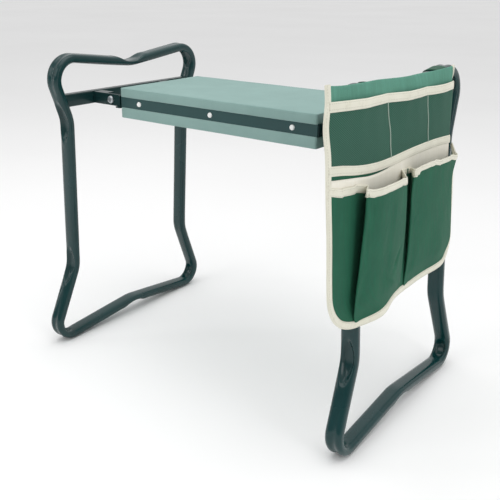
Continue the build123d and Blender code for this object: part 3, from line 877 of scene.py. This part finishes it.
# At each fold: height of the mouth, and distance off the panel where the cloth is flat at the hem
MOUTH = [-33.0, -42.0, -49.0, -45.0, -49.0, -50.0, -53.0, -48.0, -50.5, -46.5, -44.5, -49.0, -54.0, -40.5]
LAYERS = [1.1, 1.1, 1.1, 3.0, 1.9, 1.6, 1.5, 1.1, 1.2, 2.8, 1.6, 1.5, 1.6, 1.1]
RUN_STEPS = 9
FOLD_STEPS = 7


def pocket_section(v):
    """The pocket cloth across the bag at one height: rounded folds, as many points at every height."""
    levels = LEVELS[::-1]
    corners = np.array([[ramp(v, levels, f[2][::-1]), ramp(v, levels, f[3][::-1])] for f in FOLDS])
    left, right = float(left_line(v)) + 0.8, float(right_line(v)) - 0.8
    for k in range(len(corners)):
        low = left + (0.9 * k if k < 3 else 1.2)
        high = right - 0.7 * (len(corners) - 1 - k)
        corners[k, 0] = np.clip(corners[k, 0], low, high)
    path, index = [], []
    count = len(corners)
    for k in range(count):
        here = corners[k]
        if k == 0 or k == count - 1:
            near = far = here
        else:
            before, after = corners[k - 1] - here, corners[k + 1] - here
            reach = min(FOLDS[k][1], 0.45 * np.linalg.norm(before), 0.45 * np.linalg.norm(after))
            near, far = here + unit(before) * reach, here + unit(after) * reach
        if k > 0:
            for t in np.linspace(0, 1, RUN_STEPS, endpoint=False):
                path.append(previous + (near - previous) * t)
                index.append(k - 1 + t)
        if k == count - 1:
            path.append(here)
            index.append(k)
        elif k > 0:
            for t in np.linspace(0, 1, FOLD_STEPS, endpoint=False):
                path.append(near * (1 - t) ** 2 + here * 2 * t * (1 - t) + far * t * t)
                index.append(k - 0.2 + 0.4 * t)
        previous = far
    return np.array(path), np.array(index)


def pocket_grid():
    """u, v and n of the pleated strip before it settles."""
    start = BAG_BOTTOM + NEAR_CORNER
    heights = np.concatenate([
        LEVELS[0] + (start - LEVELS[0]) * np.linspace(0, 1, 44, endpoint=False),
        start - NEAR_CORNER * np.sin(np.linspace(0, math.pi / 2, 18)),
    ])
    us, vs, ns = [], [], []
    for v in heights:
        path, index = pocket_section(v)
        fade = 1 - smoothstep(LEVELS[0], -112.0, v)
        drop = (np.interp(index, range(len(MOUTH)), MOUTH) - LEVELS[0]) * fade
        floor = panel(path[:, 0], np.full(len(path), v))[2]
        settle = smoothstep(-188.0, BAG_BOTTOM, v)
        layer = np.interp(index, range(len(LAYERS)), LAYERS)
        n = path[:, 1] * (1 - settle) + (floor + layer) * settle
        n = np.maximum(n, floor + 1.0)
        us.append(path[:, 0])
        vs.append(v + drop)
        ns.append(n)
    us, vs, ns = np.array(us), np.array(vs), np.array(ns)
    body = smoothstep(1.0, 6.0, ns - PANEL_N - 2) * smoothstep(BAG_BOTTOM, BAG_BOTTOM + 25, vs)
    ripple = wave(np.stack([us * 0.6, vs * 0.35, 0 * us], -1) * MM, 0.021, 7.3)
    raised = bump((vs + 176) + 0.55 * (us + 100), 0, 4.5) * bump(us, -88, 26)
    sunk = bump((vs + 150) - 0.7 * (us + 60), 0, 4.0) * bump(us, -72, 16)
    ns = ns + body * (1.3 * ripple + 3.2 * (raised - sunk))
    return us, vs, ns


def settled(points, held, limit, frames=16):
    """Cloth simulated under its own weight: held is each point's pin, limit the most it may move, in mm."""
    rows, cols = points.shape[:2]
    obj = make_object("settling", points.reshape(-1, 3), grid_faces(rows, cols))
    pins = obj.vertex_groups.new(name="pins")
    for i, weight in enumerate(held.ravel()):
        pins.add([i], float(weight), "REPLACE")
    sim = obj.modifiers.new("cloth", "CLOTH")
    sim.settings.quality = 8
    sim.settings.mass = 0.0006
    sim.settings.tension_stiffness = sim.settings.compression_stiffness = 8.0
    sim.settings.shear_stiffness = 3.0
    sim.settings.bending_stiffness = 0.02
    sim.settings.vertex_group_mass = "pins"
    sim.point_cache.frame_start, sim.point_cache.frame_end = 1, frames
    scene = bpy.context.scene
    for number in range(1, frames + 1):
        scene.frame_set(number)
    result = obj.evaluated_get(bpy.context.evaluated_depsgraph_get()).to_mesh()
    moved = np.zeros(rows * cols * 3)
    result.vertices.foreach_get("co", moved)
    scene.frame_set(1)
    bpy.data.objects.remove(obj)
    move = moved.reshape(points.shape) - points
    size = np.linalg.norm(move, axis=-1, keepdims=True)
    share = limit[..., None] * MM
    return points + move * share / (share + size)


SETTLE_LIMIT = 4.0
pocket_u, pocket_v, pocket_n = pocket_grid()
clear = pocket_n - panel(pocket_u, pocket_v)[2]
free = smoothstep(1.5, 7.0, clear) * smoothstep(BAG_BOTTOM, BAG_BOTTOM + 30, pocket_v)
pins = 1 - free
pins[0] = np.maximum(pins[0], 0.7)
pocket_points = settled(on_bag(pocket_u, pocket_v, pocket_n), pins, 0.01 + SETTLE_LIMIT * free)
# The cloth is one strip; it is cut in two at the seam between the pockets, in the middle of the flat run.
seam_column = RUN_STEPS * 8 + FOLD_STEPS * 7 - RUN_STEPS // 2
# The pleats close towards the hem.
add_sheet(
    "bag_pocket_near", pocket_points[:, : seam_column + 1], BAG_CLOTH, 0.9, "bag_near_pocket",
)
add_sheet(
    "bag_pocket_far", pocket_points[:, seam_column:], BAG_CLOTH, 0.9, "bag_far_pocket",
)


def mouth_band(name, columns, replaces, width, tab=None):
    """Tape over a pocket's mouth, along every fold. A tab is (u, half length, extra width)."""
    u, points = pocket_u[0, columns], pocket_points[:5, columns]
    edge = points[0]
    inward = unit(points[3] - points[0])
    along = unit(np.gradient(edge, axis=0))
    normal = unit(np.cross(along, inward))
    inward = unit(np.cross(normal, along))
    if tab:
        width = width + tab[2] * (1 - smoothstep(tab[1], tab[1] + 3, np.abs(u - tab[0])))
    ride_tape(band_object(name, edge, inward, normal, width, 2.3, TAPE), replaces=replaces)


mouth_band("bag_mouth_tape_near", slice(0, seam_column), "bag_near_pocket_tape", 8.8)
far_columns = slice(seam_column + 1, pocket_u.shape[1])
mouth_band("bag_mouth_tape_far", far_columns, "bag_far_pocket_tape", 6.4, tab=(-31.0, 10.0, 3.4))

# ------------------------------------------------------------------ tool bag: edge binding
v_down = np.concatenate([
    np.linspace(79.5, BAG_BOTTOM + NEAR_CORNER, 70, endpoint=False),
    BAG_BOTTOM + NEAR_CORNER - NEAR_CORNER * np.sin(np.linspace(0, math.pi / 2, 26)),
])
v_up = np.concatenate([
    BAG_BOTTOM + FAR_CORNER - FAR_CORNER * np.sin(np.linspace(math.pi / 2, 0, 22)),
    np.linspace(BAG_BOTTOM + FAR_CORNER, 70.5, 70)[1:],
])
p_bottom = np.linspace(float(left_line(BAG_BOTTOM)), float(right_line(BAG_BOTTOM)), 84)[1:-1]
path_p = np.concatenate([left_line(v_down), p_bottom, right_line(v_up)])
path_v = np.concatenate([v_down, np.full(len(p_bottom), BAG_BOTTOM), v_up])


def smooth_path(values, passes=3):
    for _ in range(passes):
        values[1:-1] = (values[:-2] + 2 * values[1:-1] + values[2:]) / 4
    return values


path_v = smooth_path(path_v + 0.35 * np.sin(np.arange(len(path_v)) / 6.0) * (path_v < -215), 2)
edge_lift = 0.6 + 0.9 * smoothstep(-150, -221, path_v)
edge = on_bag(*panel(path_p, path_v, edge_lift))
step = 0.6
across = on_bag(*panel(path_p + step, path_v, edge_lift)) - on_bag(*panel(path_p - step, path_v, edge_lift))
upwards = on_bag(*panel(path_p, path_v + step, edge_lift)) - on_bag(*panel(path_p, path_v - step, edge_lift))
face = unit(np.cross(across, upwards))
along = unit(np.gradient(edge, axis=0))
inward = unit(np.cross(face, along))
BINDING_WIDTH, BINDING_THICKNESS = 8.6, 4.4
binding = band_object(
    "bag_binding", edge, inward, face, BINDING_WIDTH, BINDING_THICKNESS, TAPE, rise=1.2, round_power=2.6,
)
ride_tape(binding, replaces="bag_edge_binding")

# ------------------------------------------------------------------ tool bag: straps round the handle
STRAP_HALF_WIDTH = 12.5
STRAP_THICKNESS = 0.9
STRAP_GAP = 0.3


def strap(name, at):
    """A plain webbing loop round the handle's oval tube."""
    rise = HANDLE_DROP / HANDLE_HALF
    slope = math.copysign(rise, at)
    centre_v = HANDLE_TOP - HANDLE_DROP + abs(at) * rise
    turn = np.linspace(0, 2 * math.pi, 61)[:-1]
    clear = STRAP_GAP + STRAP_THICKNESS / 2
    n, m = oval(turn, TUBE_WIDTH / 2 + clear, TUBE_DEPTH / 2 + clear)
    rings = np.array([
        on_bag(at + w - slope * m, centre_v + slope * w + m, n)
        for w in np.linspace(-STRAP_HALF_WIDTH, STRAP_HALF_WIDTH, 9)
    ])
    rows, cols = rings.shape[:2]
    across = lengths_along(rings, 1)
    down = np.linspace(-STRAP_HALF_WIDTH, STRAP_HALF_WIDTH, rows) * MM
    down = np.repeat(down[:, None], cols, 1)
    uvs = np.stack([across, down], -1).reshape(-1, 2)
    obj = make_object(name, rings.reshape(-1, 3), grid_faces(rows, cols, wrap_cols=True), uvs, WEBBING)
    solid = obj.modifiers.new("webbing_thickness", "SOLIDIFY")
    solid.thickness = STRAP_THICKNESS * MM
    solid.offset = 0
    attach(obj, "right_frame")
    return obj


near_strap = strap("bag_strap_near", -95.0)
strap("bag_strap_far", 95.0)
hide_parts("bag_handle_straps")

# ------------------------------------------------------------------ floor, light and camera
floor_mesh = bpy.data.meshes.new("floor")
b = bmesh.new()
bmesh.ops.create_circle(b, cap_ends=True, radius=60.0, segments=96)
b.to_mesh(floor_mesh)
b.free()
floor = bpy.data.objects.new("floor", floor_mesh)
bpy.context.scene.collection.objects.link(floor)
m = Nodes("floor_pale", Specular_IOR_Level=0.2)
cloud = m.noise(0.8, 3, 0.5)
m.colour(m.mix(m.remap(cloud, 0.3, 0.7), (0.91, 0.91, 0.91, 1), (0.94, 0.94, 0.94, 1)))
m.roughness(m.remap(cloud, 0.3, 0.7, 0.75, 0.85))
floor_mesh.materials.append(m.material)
floor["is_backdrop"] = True

bpy.context.scene.view_settings.view_transform = "Standard"
world = bpy.data.worlds.new("studio")
world.use_nodes = True
bpy.context.scene.world = world
background = world.node_tree.nodes["Background"]
background.inputs[0].default_value = (1.0, 1.0, 1.0, 1.0)


def world_node(kind, **settings):
    node = world.node_tree.nodes.new(kind)
    for key, value in settings.items():
        setattr(node, key, value)
    return node


# White all round, brightest overhead and dimmer low at the front left, so glossy paint keeps its depth.
direction = world_node("ShaderNodeTexCoord").outputs["Generated"]
facing = world_node("ShaderNodeVectorMath", operation="DOT_PRODUCT")
facing.inputs[1].default_value = (-0.35, -0.9, -0.25)
height = world_node("ShaderNodeVectorMath", operation="DOT_PRODUCT")
height.inputs[1].default_value = (0, 0, 1)
dimmed, raised = world_node("ShaderNodeMapRange"), world_node("ShaderNodeMapRange")
product = world_node("ShaderNodeMath", operation="MULTIPLY")
for dot, ranged, (low, high, dark, bright) in (
    (facing, dimmed, (-0.2, 0.8, 0.95, 0.3)), (height, raised, (-0.1, 0.8, 0.6, 1.05)),
):
    world.node_tree.links.new(direction, dot.inputs[0])
    world.node_tree.links.new(dot.outputs["Value"], ranged.inputs["Value"])
    for key, number in zip(RANGE_SOCKETS, (low, high, dark, bright)):
        ranged.inputs[key].default_value = number
world.node_tree.links.new(dimmed.outputs[0], product.inputs[0])
world.node_tree.links.new(raised.outputs[0], product.inputs[1])
# The world itself is seen as pale as the floor far away.
seen, strength = world_node("ShaderNodeLightPath"), world_node("ShaderNodeMix")
strength.inputs[3].default_value = 0.74
world.node_tree.links.new(seen.outputs["Is Camera Ray"], strength.inputs[0])
world.node_tree.links.new(product.outputs[0], strength.inputs[2])
world.node_tree.links.new(strength.outputs[0], background.inputs[1])


LIGHT_TARGET = (0, 0, 0.3)


def area_light(name, where, size, power):
    """A white rectangular light aimed at LIGHT_TARGET."""
    data = bpy.data.lights.new(name, "AREA")
    data.shape = "RECTANGLE"
    data.size, data.size_y = size
    data.energy = power
    light = bpy.data.objects.new(name, data)
    light.location = where
    light.rotation_mode = "QUATERNION"
    light.rotation_quaternion = (Vector(LIGHT_TARGET) - Vector(where)).to_track_quat("-Z", "Y")
    bpy.context.scene.collection.objects.link(light)


area_light("top_box", (0.1, -0.2, 2.3), (2.4, 2.0), 19)
area_light("key_box", (-0.7, -2.0, 1.5), (1.4, 1.2), 9)
area_light("left_strip", (-1.5, -1.1, 0.9), (0.12, 1.5), 3)
area_light("right_strip", (1.9, -0.5, 0.9), (0.3, 1.5), 4)

# From the seat's centre, at the height of the frames' pivots.
CAMERA_FROM_SEAT = np.array([677.05, -901.48, 190.88])
CAMERA_YAW, CAMERA_PITCH, CAMERA_ROLL = 0.640, 0.359, 0.009
# Worked out from the photo together with the place and angles above
SENSOR, LENS = 36.0, 53.21448
forward = Vector((
    -math.sin(CAMERA_YAW) * math.cos(CAMERA_PITCH),
    math.cos(CAMERA_YAW) * math.cos(CAMERA_PITCH),
    -math.sin(CAMERA_PITCH),
))
level = Vector((math.cos(CAMERA_YAW), math.sin(CAMERA_YAW), 0))
upward = level.cross(forward)
right_axis = level * math.cos(CAMERA_ROLL) + upward * math.sin(CAMERA_ROLL)
up_axis = upward * math.cos(CAMERA_ROLL) - level * math.sin(CAMERA_ROLL)
camera_data = bpy.data.cameras.new("camera")
camera_data.sensor_width = SENSOR
camera_data.lens = LENS
camera_data.clip_start = 0.01
camera_data.clip_end = 200.0
camera = bpy.data.objects.new("camera", camera_data)
camera.matrix_world = Matrix.Translation(Vector(CAMERA_FROM_SEAT * MM + SEAT)) @ Matrix(
    (right_axis, up_axis, -forward)
).transposed().to_4x4()
bpy.context.scene.collection.objects.link(camera)
bpy.context.scene.camera = camera

bpy.context.view_layer.update()
low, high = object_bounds()
